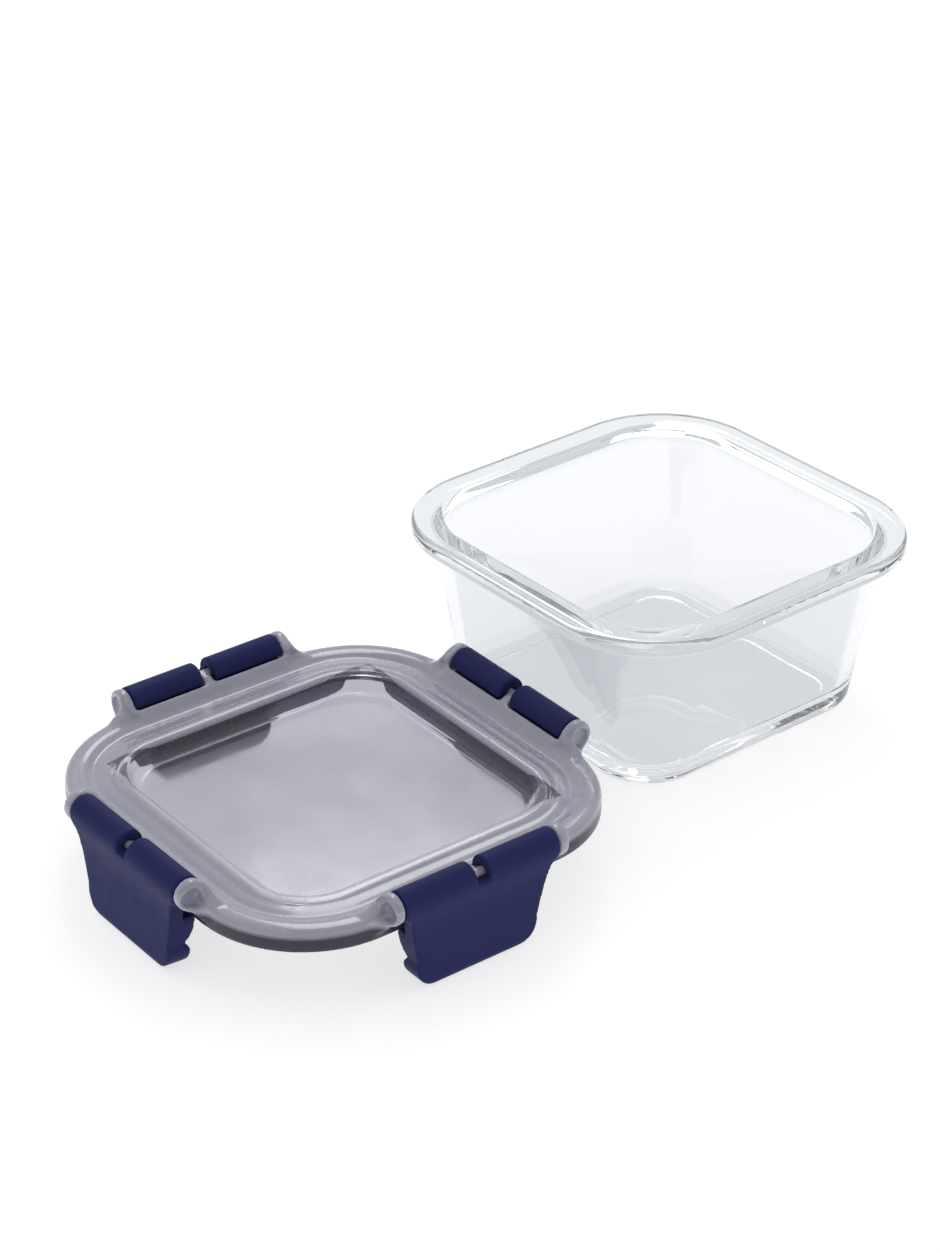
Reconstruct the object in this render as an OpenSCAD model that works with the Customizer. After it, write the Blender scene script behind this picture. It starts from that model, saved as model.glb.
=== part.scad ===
// Square glass food container with a lid lying beside it on its four latches.
// Origin: centre of the glass base, on the table.  +Z up, sides along X and Y.

/* [Glass container] */
// full width across the rim
rim_w = 138; // [110:1:180]
// overall height of the glass
glass_h = 63.3; // [40:0.1:100]
// height of the rim's outer face
rim_t = 5.5; // [3:0.1:9]
// full width of the opening at the rim
mouth_w = 115.2; // [90:0.2:160]
// full width of the walls carried down to the table
base_w = 105.2; // [80:0.2:150]
// lean of the walls from upright, degrees
wall_lean = 8.7; // [2:0.1:15]
// floor thickness at the centre
floor_t = 4.5; // [3:0.1:8]
// depth of the recess under the floor
foot_h = 0.9; // [0.4:0.1:2]
// width inside the foot ring
foot_w = 86; // [70:1:100]

/* [Lid] */
// full width across the skirt
lid_w = 140.8; // [112:0.2:184]
// gap between skirt and rim on each side
skirt_gap = 0.3; // [0.2:0.05:1]
// height of the flange top above the table
flange_z = 29.8; // [20:0.1:45]
// height of the skirt below the flange top
skirt_h = 7.8; // [5:0.1:12]
// flange thickness
flange_t = 2.4; // [1.6:0.1:4]
// full width of the recess at its top edge
recess_w = 101; // [80:0.5:130]
// depth of the recess
recess_h = 6.3; // [3:0.1:10]
// panel thickness
panel_t = 2; // [1.2:0.1:4]
// lid centre from the container centre, along X
lid_x = 15.5; // [-60:0.5:60]
// lid centre from the container centre, along Y
lid_y = -149; // [-260:0.5:-145]
// how far the lid is turned from square with the glass, degrees
lid_turn = -1.8; // [-45:0.1:45]

/* [Hinges and latches] */
// hinge rod centre from the lid centre
rod_out = 72.6; // [72:0.1:95]
// hinge rod height above the flange top
rod_up = 2.8; // [2:0.1:6]
// hinge rod diameter
rod_d = 3.2; // [2:0.1:5]
// running clearance around the rod, on the radius
rod_gap = 0.05; // [0.02:0.01:0.1]
// latch barrel diameter
barrel_d = 10; // [6:0.1:12]
// latch length along the rod
latch_w = 57; // [40:1:70]
// width of each lug along the rod
lug_w = 3.2; // [3:0.1:8]
// gap between latch and lug
lug_gap = 0.3; // [0.2:0.05:1]
// width of the rib that holds the rod at mid length
rib_w = 3.8; // [2:0.1:6]
// width of the notch in the latch around that rib
notch_w = 4.8; // [3:0.1:8]
// how far the hook reaches in from the flap
hook_in = 4.8; // [2:0.1:7]
// radius of the flap's bottom corners
flap_r = 8; // [3:0.5:12]
// how far the front latch hangs swung outward, degrees
front_swing = 4; // [0:0.5:8]

/* [Colours] */
// clear soda-lime glass
col_glass = [0.80, 0.88, 0.87];
// frosted translucent lid
col_lid = [0.74, 0.74, 0.81];
// navy latches
col_latch = [0.17, 0.18, 0.36];
// clear silicone seal
col_seal = [0.86, 0.86, 0.88];

/* [Hidden] */
eps = 0.02;
// distance from each centre line to the corner centres, shared by every ring
cc = 32.5;
rim_a = rim_w / 2;
mouth_a = mouth_w / 2;
base_a = base_w / 2;
lid_a = lid_w / 2;
rec_a = recess_w / 2;
wall_slope = tan(wall_lean);
under_z = flange_z - flange_t;
skirt_z = flange_z - skirt_h;
panel_z = flange_z - recess_h;
skirt_in = rim_a + skirt_gap;
rod_z = flange_z + rod_up;
barrel_r = barrel_d / 2;
rod_r = rod_d / 2;
lug_t0 = latch_w / 2 + lug_gap;
lug_t1 = lug_t0 + lug_w;
lug_r = barrel_r + 0.1;
// inner face of the flap behind the skirt, from the rod
flap_in = lid_a + 0.5 - rod_out;
// drop from the rod to the flap's bottom edge, just clear of the table
flap_drop = rod_z - 0.25;

function arc(x, z, r, a0, a1, n = 6) =
  [for (i = [0:n]) [x + r * cos(a0 + (a1 - a0) * i / n), z + r * sin(a0 + (a1 - a0) * i / n)]];

// sweeps a section round a square with rounded corners; section x is the half-width
module square_ring() {
  for (k = [0:3])
    rotate([0, 0, 90 * k]) {
      translate([cc, cc, 0])
        rotate_extrude(angle = 90, $fn = 96)
          translate([-cc, 0])
            children();
      translate([0, cc, 0])
        rotate([90, 0, 0])
          linear_extrude(height = 2 * cc)
            children();
    }
}

// ---- glass container ----

module glass_section() {
  br = 4;
  fr = 2;
  under = glass_h - rim_t;
  ir = 2;
  floor_r = 6;
  inner_top = glass_h - ir;
  inner_at_floor = mouth_a - (inner_top - floor_t - floor_r) * wall_slope;
  polygon(concat(
    [[cc, foot_h], [foot_w / 2 - 1.2, foot_h], [foot_w / 2, 0]],
    arc(base_a + br * wall_slope - br / cos(wall_lean), br, br, -90, -wall_lean, 8),
    arc(base_a + (under - fr) * wall_slope + fr / cos(wall_lean), under - fr, fr, 180 - wall_lean, 90, 5),
    arc(rim_a - 1.3, under + 1.3, 1.3, -90, 0, 5),
    arc(rim_a - 2, glass_h - 2, 2, 0, 90, 6),
    arc(mouth_a + ir, inner_top, ir, 90, 180, 6),
    arc(inner_at_floor - floor_r / cos(wall_lean), floor_t + floor_r, floor_r, -wall_lean, -90, 8),
    [[cc, floor_t]]
  ));
}

module glass_container() {
  color(col_glass)
    union() {
      square_ring()
        glass_section();
      translate([-cc, -cc, foot_h])
        cube([2 * cc, 2 * cc, floor_t - foot_h]);
    }
}

// ---- lid ----

module lid_section() {
  edge_r = 2.2;
  polygon(concat(
    [[skirt_in + 0.3, skirt_z], [lid_a - 0.3, skirt_z], [lid_a, skirt_z + 0.3]],
    arc(lid_a - edge_r, flange_z - edge_r, edge_r, 0, 90, 6),
    // groove between the outer bead and the raised band round the recess
    [[rec_a + 14.7, flange_z], [rec_a + 13.4, flange_z - 0.35], [rec_a + 12.2, flange_z - 1]],
    [[rec_a + 11.3, flange_z - 1.35], [rec_a + 10.1, flange_z - 1.35], [rec_a + 9.2, flange_z - 1.05]],
    [[rec_a + 8.2, flange_z - 0.85], [rec_a + 5.4, flange_z - 0.8], [rec_a + 4.6, flange_z - 0.3]],
    [[rec_a + 3.9, flange_z - 0.1], [rec_a + 1.4, flange_z - 0.1]],
    arc(rec_a + 1.4, flange_z - 1.3, 1.2, 90, 170, 5),
    arc(rec_a - 3.8, panel_z + 3.5, 3.5, -10, -90, 7),
    [[cc, panel_z], [cc, panel_z - panel_t], [rec_a, panel_z - panel_t]],
    [[rec_a + 1.4, panel_z - panel_t + 1.2], [rec_a + 2.4, under_z]],
    [[rec_a + 4.4, under_z], [rec_a + 4.5, under_z - 3], [rec_a + 5.5, under_z - 3], [rec_a + 5.7, under_z]],
    [[rec_a + 14.1, under_z], [rec_a + 14.2, under_z - 1.3], [rec_a + 15.1, under_z - 1.3]],
    [[rec_a + 15.3, under_z], [skirt_in - 0.8, under_z], [skirt_in, under_z - 0.8], [skirt_in, skirt_z + 0.3]]
  ));
}

// lug profile across the rod: barrel-sized end and a web down to the flange
module lug_profile() {
  translate([rod_out, rod_z])
    circle(r = lug_r, $fn = 72);
  polygon([
    [rod_out + 2, rod_z - 3.6],
    [rod_out, rod_z],
    [rod_out - 1.6, rod_z + 4.2],
    [rod_out - 4.4, rod_z + 3],
    [rod_out - 5.7, rod_z + 0.9],
    [rod_out - 6.8, flange_z + 0.7],
    [rod_out - 8, flange_z - 0.2],
    [rod_out - 8, under_z + 0.3],
    [lid_a - 0.6, under_z - 0.4],
    [lid_a - 0.6, skirt_z + 2],
    [lid_a + 0.2, skirt_z + 2.2]
  ]);
}

// plan of the flare between a lug and the corner of the flange, running out into the corner
module flare_plan() {
  r = 8;
  corner_r = lid_a - cc - 0.4;
  arc_t = lug_t1 + r;
  arc_x = cc + sqrt(pow(corner_r + r, 2) - pow(arc_t - cc, 2));
  meet_t = cc + (arc_t - cc) * corner_r / (corner_r + r);
  difference() {
    translate([rod_out - 8, lug_t1 - eps])
      square([12.4, r + 3]);
    translate([arc_x, arc_t])
      circle(r = r, $fn = 96);
    difference() {
      translate([lid_a - 8, meet_t])
        square([20, 12]);
      translate([cc, cc])
        circle(r = corner_r, $fn = 192);
    }
  }
}

// side view of the same flare, falling from the lug top to the flange
module flare_side() {
  r = 9;
  difference() {
    translate([lug_t1 - eps, skirt_z + 2])
      square([r + 1, rod_z + lug_r - skirt_z - 2]);
    translate([lug_t1 + r, flange_z + r - 0.6])
      circle(r = r, $fn = 96);
    translate([lug_t1 + r - eps, flange_z - 0.4])
      square([10, 20]);
  }
}

module lug() {
  difference() {
    union() {
      translate([0, lug_t1, 0])
        rotate([90, 0, 0])
          linear_extrude(height = lug_w)
            lug_profile();
      intersection() {
        translate([0, lug_t1 + 12, 0])
          rotate([90, 0, 0])
            linear_extrude(height = 12 + eps)
              lug_profile();
        linear_extrude(height = 60)
          flare_plan();
        translate([40, 0, 0])
          rotate([90, 0, 90])
            linear_extrude(height = 50)
              flare_side();
      }
    }
    // coring on the corner side
    translate([rod_out + 0.4, lug_t1 - 1.8, rod_z - 0.4])
      rotate([-90, 0, 0])
        cylinder(r = 3.1, h = 20, $fn = 48);
  }
}

// room for the latch barrel, for the side facing +X
module pocket() {
  translate([rod_out, lug_t0, rod_z])
    rotate([90, 0, 0])
      cylinder(r = barrel_r + 0.4, h = 2 * lug_t0, $fn = 96);
}

// rod, its two lugs and its middle rib, for the side facing +X
module hinge_side() {
  lug();
  mirror([0, 1, 0])
    lug();
  translate([rod_out, lug_t0 + 0.8, rod_z])
    rotate([90, 0, 0])
      cylinder(r = rod_r, h = 2 * lug_t0 + 1.6, $fn = 64);
  // lip along the inner side of the pocket
  difference() {
    translate([0, lug_t0 + 0.1, 0])
      rotate([90, 0, 0])
        linear_extrude(height = 2 * lug_t0 + 0.2)
          polygon([
            [rod_out - 8.6, flange_z - 0.3],
            [rod_out - 8.4, flange_z + 0.3],
            [rod_out - 6, rod_z - 0.3],
            [rod_out - 4.6, rod_z - 0.1],
            [rod_out - 4.6, flange_z - 0.3]
          ]);
    pocket();
  }
  translate([0, rib_w / 2, 0])
    rotate([90, 0, 0])
      linear_extrude(height = rib_w)
        polygon([
          [rod_out - 6.4, flange_z - 0.8],
          [rod_out - 5.8, rod_z - 0.6],
          [rod_out - 3.4, rod_z + 1],
          [rod_out - 1.2, rod_z + 1.1],
          [rod_out, rod_z],
          [rod_out - 0.4, rod_z - rod_r + 0.1],
          [rod_out - 2.6, flange_z - 1.3]
        ]);
}

module place_lid() {
  translate([lid_x, lid_y, 0])
    rotate([0, 0, lid_turn])
      children();
}

module lid() {
  color(col_lid)
    place_lid()
      union() {
        difference() {
          square_ring()
            lid_section();
          for (k = [0:3])
            rotate([0, 0, 90 * k])
              pocket();
        }
        translate([-cc, -cc, panel_z - panel_t])
          cube([2 * cc, 2 * cc, panel_t]);
        for (k = [0:3])
          rotate([0, 0, 90 * k])
            hinge_side();
      }
}

module lid_seal() {
  color(col_seal)
    place_lid()
      square_ring()
        polygon(concat(
          [[rec_a + 5.8, under_z], [rec_a + 5.8, under_z - 1], [rec_a + 8.6, under_z - 1.2]],
          arc(rec_a + 10.2, under_z - 1, 1, 190, 350, 8),
          [[rec_a + 11.8, under_z - 1.2], [rec_a + 14, under_z - 1], [rec_a + 14, under_z]]
        ));
}

// ---- latches ----

// latch section across the rod, rod at the origin, outside towards +x
module flap_section() {
  drop = flap_drop;
  polygon([
    [barrel_r - 0.04, -0.6],
    [barrel_r - 0.25, -2.4],
    [barrel_r - 0.9, -5],
    [barrel_r - 1.6, -8],
    [barrel_r - 2.2, -12],
    [barrel_r - 2.7, -18],
    [barrel_r - 3.1, -25],
    [barrel_r - 3.3, 2.1 - drop],
    [barrel_r - 3.7, 0.8 - drop],
    [barrel_r - 4.5, -drop],
    [flap_in - 2.6, -drop],
    [flap_in - 3.8, 0.5 - drop],
    [flap_in - 4.6, 1.6 - drop],
    [flap_in - 4.8, 3 - drop],
    [flap_in - 4.8, 5.4 - drop],
    [flap_in - 4.2, 7.6 - drop],
    [flap_in - 2.6, 9.4 - drop],
    [flap_in, 10.4 - drop],
    [flap_in, -4.4],
    [flap_in - 0.7, -4.3],
    [0, 0]
  ]);
}

module hook_section() {
  top = skirt_z - 2 - rod_z;
  polygon([
    [flap_in + 1, top],
    [flap_in - hook_in + 0.9, top],
    [flap_in - hook_in + 0.25, top - 0.5],
    [flap_in - hook_in, top - 1.5],
    [flap_in - hook_in + 0.05, top - 5.5],
    [flap_in - hook_in + 0.8, top - 8],
    [flap_in - 2.6, top - 10],
    [flap_in - 1.9, top - 11.3],
    [flap_in + 1, top - 11.3]
  ]);
}

// flap outline seen from outside, tapering to rounded bottom corners
module flap_outline() {
  h = latch_w / 2;
  corner_t = h - flap_r - 6;
  corner_z = flap_r - flap_drop;
  polygon(concat(
    [[-h, 6], [-h, -2.2], [-h + 1, -3.6], [-h + 2.3, -5.2], [-h + 2.9, -7.2]],
    arc(-corner_t, corner_z, flap_r, 168, 270, 10),
    arc(corner_t, corner_z, flap_r, -90, 12, 10),
    [[h - 2.9, -7.2], [h - 2.3, -5.2], [h - 1, -3.6], [h, -2.2], [h, 6]]
  ));
}

module along_rod(w) {
  translate([0, w / 2, 0])
    rotate([90, 0, 0])
      linear_extrude(height = w)
        children();
}

module latch() {
  difference() {
    union() {
      along_rod(latch_w)
        circle(r = barrel_r, $fn = 96);
      intersection() {
        union() {
          along_rod(latch_w)
            flap_section();
          along_rod(latch_w - 9)
            hook_section();
        }
        translate([-20, 0, 0])
          rotate([90, 0, 90])
            linear_extrude(height = 40)
              flap_outline();
      }
    }
    // bore for the rod, open inward and down so the latch clips on
    along_rod(latch_w + 2)
      circle(r = rod_r + rod_gap, $fn = 64);
    rotate([0, -25, 0])
      translate([-8, -latch_w, -rod_r + 0.25])
        cube([8, 2 * latch_w, 2 * rod_r - 0.5]);
    // notch around the middle rib
    translate([-7, -notch_w / 2, -0.9])
      cube([14, notch_w, 8]);
    translate([-7, -notch_w / 2, -6])
      cube([7.2, notch_w, 8]);
  }
}

// swing is the outward angle from hanging straight down
module latch_at(turn, swing = 0) {
  color(col_latch)
    place_lid()
      rotate([0, 0, turn])
        translate([rod_out, 0, rod_z])
          rotate([0, -swing, 0])
            latch();
}

module latch_right() {
  latch_at(0);
}

module latch_back() {
  latch_at(90);
}

module latch_left() {
  latch_at(180);
}

module latch_front() {
  latch_at(270, front_swing);
}

glass_container();
lid();
lid_seal();
latch_front();
latch_back();
latch_left();
latch_right();
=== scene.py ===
import math

import bmesh
import bpy
from mathutils import Matrix, Vector


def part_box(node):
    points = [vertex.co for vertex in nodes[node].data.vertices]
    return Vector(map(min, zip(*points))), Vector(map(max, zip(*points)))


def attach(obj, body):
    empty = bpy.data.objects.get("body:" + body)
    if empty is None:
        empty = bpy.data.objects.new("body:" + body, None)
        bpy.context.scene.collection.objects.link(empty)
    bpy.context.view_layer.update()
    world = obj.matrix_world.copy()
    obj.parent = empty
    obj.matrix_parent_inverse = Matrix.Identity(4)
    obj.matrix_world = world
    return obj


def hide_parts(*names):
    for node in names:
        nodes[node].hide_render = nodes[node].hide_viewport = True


# A square glass food container and its frosted lid, which stands beside it on four navy latches.

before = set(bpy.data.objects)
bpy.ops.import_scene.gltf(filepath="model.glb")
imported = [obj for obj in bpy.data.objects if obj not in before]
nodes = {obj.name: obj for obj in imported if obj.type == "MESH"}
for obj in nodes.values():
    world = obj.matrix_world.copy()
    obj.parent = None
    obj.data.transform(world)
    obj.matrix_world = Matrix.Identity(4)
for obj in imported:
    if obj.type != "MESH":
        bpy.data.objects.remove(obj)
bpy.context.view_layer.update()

MM = 0.001
# measures shared with the CAD, in millimetres and degrees
RIM_T = 5.5
LUG_RISE = 7.9
WALL_LEAN = 8.7
CORNER_CENTRE = 32.5
LID_TURN_DEG = -1.8
# half width of the lid's clear part, 0.1 mm past the recess's top edge
CLEAR_HALF = 50.6

GLASS_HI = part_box("glass_container")[1]
LID_LO, LID_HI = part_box("lid")
# underside of the glass rim, and top of the lid's flange, in metres
RIM_UNDER_Z = GLASS_HI.z - RIM_T * MM
FLANGE_Z = LID_HI.z - LUG_RISE * MM

# ---------------------------------------------------------------- materials


def new_material(name):
    mat = bpy.data.materials.new(name)
    mat.use_nodes = True
    tree = mat.node_tree
    return mat, tree, tree.nodes["Principled BSDF"]


def noise(tree, coords, scale, detail=3.0, rough=0.5):
    n = tree.nodes.new("ShaderNodeTexNoise")
    n.inputs["Scale"].default_value = scale
    n.inputs["Detail"].default_value = detail
    n.inputs["Roughness"].default_value = rough
    tree.links.new(coords, n.inputs["Vector"])
    return n.outputs["Fac"]


def ramp(tree, fac, lo, hi, out_lo, out_hi):
    n = tree.nodes.new("ShaderNodeMapRange")
    n.inputs["From Min"].default_value = lo
    n.inputs["From Max"].default_value = hi
    n.inputs["To Min"].default_value = out_lo
    n.inputs["To Max"].default_value = out_hi
    tree.links.new(fac, n.inputs["Value"])
    return n.outputs["Result"]


def bump(tree, height, strength, distance):
    n = tree.nodes.new("ShaderNodeBump")
    n.inputs["Strength"].default_value = strength
    n.inputs["Distance"].default_value = distance
    tree.links.new(height, n.inputs["Height"])
    return n.outputs["Normal"]


def colour_mix(tree, fac, start, end):
    """Mixes two colours, each an (r, g, b) tuple or an output socket."""
    n = tree.nodes.new("ShaderNodeMix")
    n.data_type = "RGBA"
    tree.links.new(fac, n.inputs["Factor"])
    # sockets 6 and 7 are the node's two colours, and output 2 is its colour
    for colour, socket in ((start, 6), (end, 7)):
        if isinstance(colour, tuple):
            n.inputs[socket].default_value = (*colour, 1)
        else:
            tree.links.new(colour, n.inputs[socket])
    return n.outputs[2]


def object_coords(tree):
    return tree.nodes.new("ShaderNodeTexCoord").outputs["Object"]


def object_height(tree, xyz):
    n = tree.nodes.new("ShaderNodeSeparateXYZ")
    tree.links.new(xyz, n.inputs["Vector"])
    return n.outputs["Z"]


def glass_material():
    """Clear pressed glass, its colour deeper in the rim and foot, where it is thickest."""
    mat, tree, bsdf = new_material("pressed_glass")
    bsdf.inputs["Transmission Weight"].default_value = 1.0
    bsdf.inputs["IOR"].default_value = 1.45
    # a faint glow stands in for the light that glass pipes along its thick rim
    bsdf.inputs["Emission Color"].default_value = (0.80, 0.94, 0.92, 1)
    bsdf.inputs["Emission Strength"].default_value = 0.004
    xyz = object_coords(tree)
    height = object_height(tree, xyz)
    in_rim = ramp(tree, height, RIM_UNDER_Z - MM, RIM_UNDER_Z + MM, 0.0, 1.0)
    in_foot = ramp(tree, height, 6 * MM, 3 * MM, 0.0, 1.0)
    wall = colour_mix(tree, in_rim, (0.87, 0.88, 0.90), (0.765, 0.80, 0.815))
    tree.links.new(colour_mix(tree, in_foot, wall, (0.80, 0.82, 0.84)), bsdf.inputs["Base Color"])
    # glossy, with faint cloudy handling marks and the low waves of pressing
    marks = ramp(tree, noise(tree, xyz, 45, 5), 0.45, 0.8, 0.0, 0.03)
    tree.links.new(marks, bsdf.inputs["Roughness"])
    waves = noise(tree, xyz, 22, 1.0)
    tree.links.new(bump(tree, waves, 0.25, 0.0016), bsdf.inputs["Normal"])
    return mat


def frosted_material():
    """Cloudy lavender-grey plastic, with painted shade darkening it down the skirt for the shaded
    underside seen through it.
    """
    mat, tree, bsdf = new_material("frosted_lid")
    bsdf.inputs["Transmission Weight"].default_value = 0.42
    bsdf.inputs["IOR"].default_value = 1.46
    xyz = object_coords(tree)
    height = object_height(tree, xyz)
    # painted shade: below the flange the skirt is tinted towards near black, for the shade under the
    # lid
    skirt_shade = ramp(tree, height, FLANGE_Z - 1.6 * MM, FLANGE_Z - 3.4 * MM, 0.0, 1.0)
    cloud = ramp(tree, noise(tree, xyz, 55, 4), 0.3, 0.7, 0.0, 1.0)
    top = colour_mix(tree, cloud, (0.50, 0.50, 0.57), (0.56, 0.56, 0.63))
    # the painted shade of the skirt mixed into the lid's own cloudy colour
    tint = colour_mix(tree, skirt_shade, top, (0.018, 0.018, 0.05))
    tree.links.new(tint, bsdf.inputs["Base Color"])
    matt = ramp(tree, noise(tree, xyz, 160, 4), 0.3, 0.7, 0.24, 0.32)
    tree.links.new(matt, bsdf.inputs["Roughness"])
    tree.links.new(bump(tree, noise(tree, xyz, 60, 2), 0.1, 0.0006), bsdf.inputs["Normal"])
    # the coat is thinned over the painted shade of the skirt, so that it stays dark
    tree.links.new(ramp(tree, skirt_shade, 0, 1, 1.0, 0.15), bsdf.inputs["Coat Weight"])
    bsdf.inputs["Coat Roughness"].default_value = 0.08
    bsdf.inputs["Coat Tint"].default_value = (0.95, 0.95, 1, 1)
    bsdf.inputs["Coat IOR"].default_value = 1.55
    return mat


def clear_material():
    """Glossy lavender-grey plastic of the lid's recess, clear enough to see through."""
    mat, tree, bsdf = new_material("clear_lid_panel")
    bsdf.inputs["Transmission Weight"].default_value = 0.9
    bsdf.inputs["IOR"].default_value = 1.46
    xyz = object_coords(tree)
    cloud = ramp(tree, noise(tree, xyz, 40, 4), 0.3, 0.7, 0.0, 1.0)
    tint = colour_mix(tree, cloud, (0.53, 0.52, 0.58), (0.59, 0.58, 0.64))
    tree.links.new(tint, bsdf.inputs["Base Color"])
    scuffs = ramp(tree, noise(tree, xyz, 70, 5), 0.4, 0.75, 0.07, 0.16)
    tree.links.new(scuffs, bsdf.inputs["Roughness"])
    tree.links.new(bump(tree, noise(tree, xyz, 30, 1), 0.08, 0.0008), bsdf.inputs["Normal"])
    return mat


def navy_material():
    """Satin plastic of the latches, with a fine moulded grain."""
    mat, tree, bsdf = new_material("navy_satin_plastic")
    xyz = object_coords(tree)
    cloud = noise(tree, xyz, 90, 4)
    tint = colour_mix(tree, cloud, (0.020, 0.024, 0.094), (0.027, 0.032, 0.114))
    tree.links.new(tint, bsdf.inputs["Base Color"])
    bsdf.inputs["IOR"].default_value = 1.45
    bsdf.inputs["Specular IOR Level"].default_value = 0.05
    satin = ramp(tree, noise(tree, xyz, 220, 5), 0.3, 0.7, 0.34, 0.46)
    tree.links.new(satin, bsdf.inputs["Roughness"])
    grain = noise(tree, xyz, 3200, 2)
    tree.links.new(bump(tree, grain, 0.22, 0.00006), bsdf.inputs["Normal"])
    return mat


def silicone_material():
    """Soft translucent rubber of the seal."""
    mat, tree, bsdf = new_material("silicone_seal")
    bsdf.inputs["Base Color"].default_value = (0.86, 0.86, 0.90, 1)
    bsdf.inputs["Transmission Weight"].default_value = 0.85
    bsdf.inputs["IOR"].default_value = 1.41
    xyz = object_coords(tree)
    matt = ramp(tree, noise(tree, xyz, 200, 4), 0.3, 0.7, 0.38, 0.5)
    tree.links.new(matt, bsdf.inputs["Roughness"])
    tree.links.new(bump(tree, noise(tree, xyz, 1800, 2), 0.15, 0.00006), bsdf.inputs["Normal"])
    return mat


glass = glass_material()
frosted = frosted_material()
clear = clear_material()
navy = navy_material()
silicone = silicone_material()

# ---------------------------------------------------------------- glass container


def arc(x, z, r, a0, a1, n):
    """Points round a circle, both ends included."""
    pts = []
    for i in range(n + 1):
        a = math.radians(a0 + (a1 - a0) * i / n)
        pts.append((x + r * math.cos(a), z + r * math.sin(a)))
    return pts


def line(p, q, n):
    """Points between p and q, both ends left out."""
    return [(p[0] + (q[0] - p[0]) * i / n, p[1] + (q[1] - p[1]) * i / n) for i in range(1, n)]


def ring_outline(half, centre, corner_n, side_n):
    """A rounded square; every ring has the same vertex count, so rings loft to each other."""
    quarter = arc(centre, centre, half - centre, 0, 90, corner_n)
    quarter += line(quarter[-1], (-centre, half), side_n)
    pts = []
    for k in range(4):
        turn = math.radians(90 * k)
        ca, sa = math.cos(turn), math.sin(turn)
        pts += [(x * ca - y * sa, x * sa + y * ca) for x, y in quarter]
    return pts


def loft(name, profile, centre, corner_n=28, side_n=10):
    """Sweeps (half width, height) pairs in millimetres round a rounded square, capped at its ends."""
    bm = bmesh.new()
    rings = []
    for half, z in profile:
        outline = ring_outline(half, centre, corner_n, side_n)
        rings.append([bm.verts.new((x * MM, y * MM, z * MM)) for x, y in outline])
    n = len(rings[0])
    for a, b in zip(rings, rings[1:]):
        for i in range(n):
            bm.faces.new((a[i], a[(i + 1) % n], b[(i + 1) % n], b[i]))
    bm.faces.new(list(reversed(rings[0])))
    bm.faces.new(rings[-1])
    bmesh.ops.recalc_face_normals(bm, faces=bm.faces)
    mesh = bpy.data.meshes.new(name)
    bm.to_mesh(mesh)
    bm.free()
    for p in mesh.polygons:
        p.use_smooth = len(p.vertices) == 4
    obj = bpy.data.objects.new(name, mesh)
    bpy.context.scene.collection.objects.link(obj)
    return obj


def glass_profile(half, height):
    """The glass in section, from its underside out round the rim and back in to its floor."""
    lean = math.radians(WALL_LEAN)
    slope, c, s = math.tan(lean), math.cos(lean), math.sin(lean)
    # half widths, out from the middle; base is the wall carried down to the table
    edge = CORNER_CENTRE + 1
    foot_in, foot_out = 41.6, 43.6
    base = half - 16.4
    mouth = half - 11.4
    # heights and radii
    under = height - RIM_T
    floor_t, foot_h = 4.5, 0.9
    heel_r, neck_r, lip_r, crown_r, mouth_r, floor_r = 4.0, 2.0, 1.3, 2.0, 2.0, 6.0

    # underside, foot ring and heel
    pts = [(edge, foot_h)]
    pts += line((edge, foot_h), (foot_in, foot_h), 3)
    pts += arc(foot_in, 0, foot_h, 90, 20, 6)
    pts += [(foot_out - 0.5, 0.12), (foot_out, 0.0)]
    heel = base + heel_r * slope - heel_r / c
    pts += line((foot_out, 0.0), (heel, 0.0), 3)
    pts += arc(heel, heel_r, heel_r, -90, -WALL_LEAN, 14)
    # outer wall, neck, and the rim's outer face and top
    neck_z = under - neck_r
    neck = base + neck_z * slope
    pts += line(pts[-1], (neck, neck_z), 8)
    pts += arc(neck + neck_r / c, neck_z, neck_r, 180 - WALL_LEAN, 90, 8)
    pts += arc(half - lip_r, under + lip_r, lip_r, -90, 0, 8)
    pts += arc(half - crown_r, height - crown_r, crown_r, 0, 90, 10)
    pts += line((half - crown_r, height), (mouth + mouth_r, height), 3)
    pts += arc(mouth + mouth_r, height - mouth_r, mouth_r, 90, 180, 10)
    # inner wall and floor
    fillet_z = floor_t + floor_r
    fillet = mouth - (height - mouth_r - fillet_z) * slope - floor_r / c
    wall_foot = (fillet + floor_r * c, fillet_z - floor_r * s)
    pts += line(pts[-1], wall_foot, 8)
    pts += arc(fillet, fillet_z, floor_r, -WALL_LEAN, -90, 14)
    pts += line((fillet, floor_t), (edge, floor_t), 3)
    pts.append((edge, floor_t))
    return pts


glass_body = loft("glass_body", glass_profile(GLASS_HI.x / MM, GLASS_HI.z / MM), CORNER_CENTRE)
glass_body.data.materials.append(glass)
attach(glass_body, "container")
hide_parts("glass_container")

# ---------------------------------------------------------------- lid, seal and latches

LID_TURN = Matrix.Rotation(math.radians(LID_TURN_DEG), 4, "Z")


def apply_modifiers(obj):
    graph = bpy.context.evaluated_depsgraph_get()
    return bpy.data.meshes.new_from_object(obj.evaluated_get(graph), depsgraph=graph)


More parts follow.
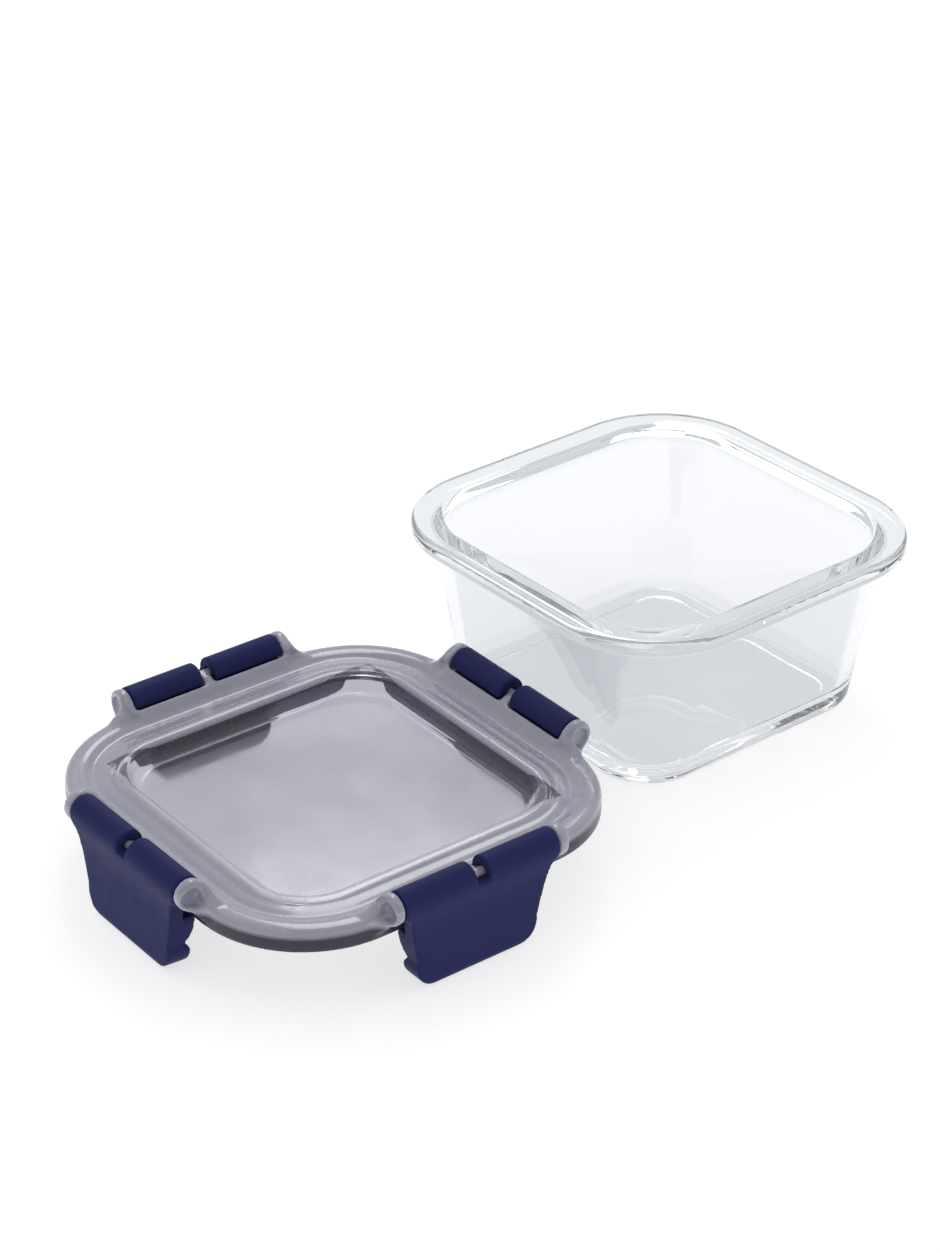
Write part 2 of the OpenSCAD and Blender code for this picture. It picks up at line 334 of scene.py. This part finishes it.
def moulded(node, name, body, material, voxel=0.45 * MM, rounds=6, keep=0.4):
    """A copy of a CAD node with its edges melted round, as on moulded plastic.

    It is turned square first, so that its flats lie along the voxel grid.
    """
    mesh = nodes[node].data.copy()
    mesh.transform(LID_TURN.inverted())
    raw = bpy.data.objects.new(name + "_raw", mesh)
    bpy.context.scene.collection.objects.link(raw)
    melt = raw.modifiers.new("melt", "REMESH")
    melt.mode = "VOXEL"
    melt.voxel_size = voxel
    melt.adaptivity = 0
    soft = raw.modifiers.new("soften", "SMOOTH")
    soft.factor = 0.5
    soft.iterations = rounds
    raw.modifiers.new("thin", "DECIMATE").ratio = keep
    out = apply_modifiers(raw)
    bpy.data.objects.remove(raw)
    out.transform(LID_TURN)
    out.name = name
    out.materials.clear()
    out.materials.append(material)
    for p in out.polygons:
        p.use_smooth = True
        p.material_index = 0
    piece = bpy.data.objects.new(name, out)
    bpy.context.scene.collection.objects.link(piece)
    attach(piece, body)
    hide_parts(node)
    return piece


lid_shell = moulded("lid", "lid_shell", "lid_body", frosted, 0.5 * MM, 20, 0.36)
seal_ring = moulded("lid_seal", "seal_ring", "lid_body", silicone, 0.3 * MM, 3, 0.3)
# a little below the lid, so that the two don't share a face
seal_ring.data.transform(Matrix.Translation((0, 0, -0.15 * MM)))
for side in ("front", "back", "left", "right"):
    node = f"latch_{side}"
    moulded(node, node + "_clip", node + "_body", navy, 0.4 * MM, 10)

# the recess wall and panel are clear, the rest of the lid is frosted
lid_shell.data.materials.append(clear)
lid_mid = (LID_LO + LID_HI) / 2
for p in lid_shell.data.polygons:
    c = LID_TURN.inverted() @ (p.center - lid_mid)
    if max(abs(c.x), abs(c.y)) < CLEAR_HALF * MM:
        p.material_index = 1

# ---------------------------------------------------------------- floor, light, camera

FLOOR_HALF = 6.0
floor_corners = [(x * FLOOR_HALF, y * FLOOR_HALF, 0) for x, y in ((-1, -1), (1, -1), (1, 1), (-1, 1))]
floor_mesh = bpy.data.meshes.new("floor")
floor_mesh.from_pydata(floor_corners, [], [(0, 1, 2, 3)])
floor = bpy.data.objects.new("floor", floor_mesh)
floor.location.z = -0.2 * MM
bpy.context.scene.collection.objects.link(floor)
fmat, ftree, fbsdf = new_material("pale_floor")
fbsdf.inputs["Base Color"].default_value = (0.5, 0.5, 0.505, 1)
fbsdf.inputs["Emission Color"].default_value = (1, 1, 1, 1)
fbsdf.inputs["Emission Strength"].default_value = 0.68
fbsdf.inputs["Roughness"].default_value = 0.9
fbsdf.inputs["Specular IOR Level"].default_value = 0.1
floor_mesh.materials.append(fmat)


def studio_world():
    """White room: bright overhead and behind the object, dimmer low down on the viewer's side."""
    world = bpy.data.worlds.new("studio")
    world.use_nodes = True
    bpy.context.scene.world = world
    tree = world.node_tree
    where = tree.nodes.new("ShaderNodeTexCoord").outputs["Generated"]
    side = tree.nodes.new("ShaderNodeVectorMath")
    side.operation = "DOT_PRODUCT"
    side.inputs[1].default_value = (0.62, -0.5, -0.6)
    tree.links.new(where, side.inputs[0])
    level = ramp(tree, side.outputs["Value"], -0.4, 0.8, 0.8, 0.3)
    tree.links.new(level, tree.nodes["Background"].inputs["Strength"])
    tree.nodes["Background"].inputs["Color"].default_value = (0.985, 0.985, 1.0, 1)


studio_world()


def softbox(name, where, aim, size, power):
    data = bpy.data.lights.new(name, "AREA")
    data.shape = "RECTANGLE"
    data.size, data.size_y = size
    data.energy = power
    obj = bpy.data.objects.new(name, data)
    obj.location = where
    obj.rotation_euler = (Vector(aim) - Vector(where)).to_track_quat("-Z", "Y").to_euler()
    bpy.context.scene.collection.objects.link(obj)


softbox("softbox_back", (-0.6, 0.4, 1.05), (0, -0.1, 0), (0.3, 0.8), 2.2)


def camera(azimuth, elevation, distance, aim, lens):
    """Looks at aim from an azimuth, an elevation and a distance; azimuth 0 looks toward +Y."""
    a, e = math.radians(azimuth), math.radians(elevation)
    back = Vector((math.sin(a) * math.cos(e), -math.cos(a) * math.cos(e), math.sin(e)))
    data = bpy.data.cameras.new("camera")
    data.lens = lens
    data.sensor_width = 36
    obj = bpy.data.objects.new("camera", data)
    obj.location = Vector(aim) + back * distance
    obj.rotation_euler = (-back).to_track_quat("-Z", "Y").to_euler()
    bpy.context.scene.collection.objects.link(obj)
    bpy.context.scene.camera = obj


scene = bpy.context.scene
scene.view_settings.view_transform = "Standard"
# light is piped a long way along the glass rim before it comes out again
scene.cycles.max_bounces = 32
scene.cycles.transmission_bounces = 32
scene.cycles.glossy_bounces = 24
camera(50.61, 29.79, 1.1466, (-0.0472, -0.0422, 0.017), 96.33)
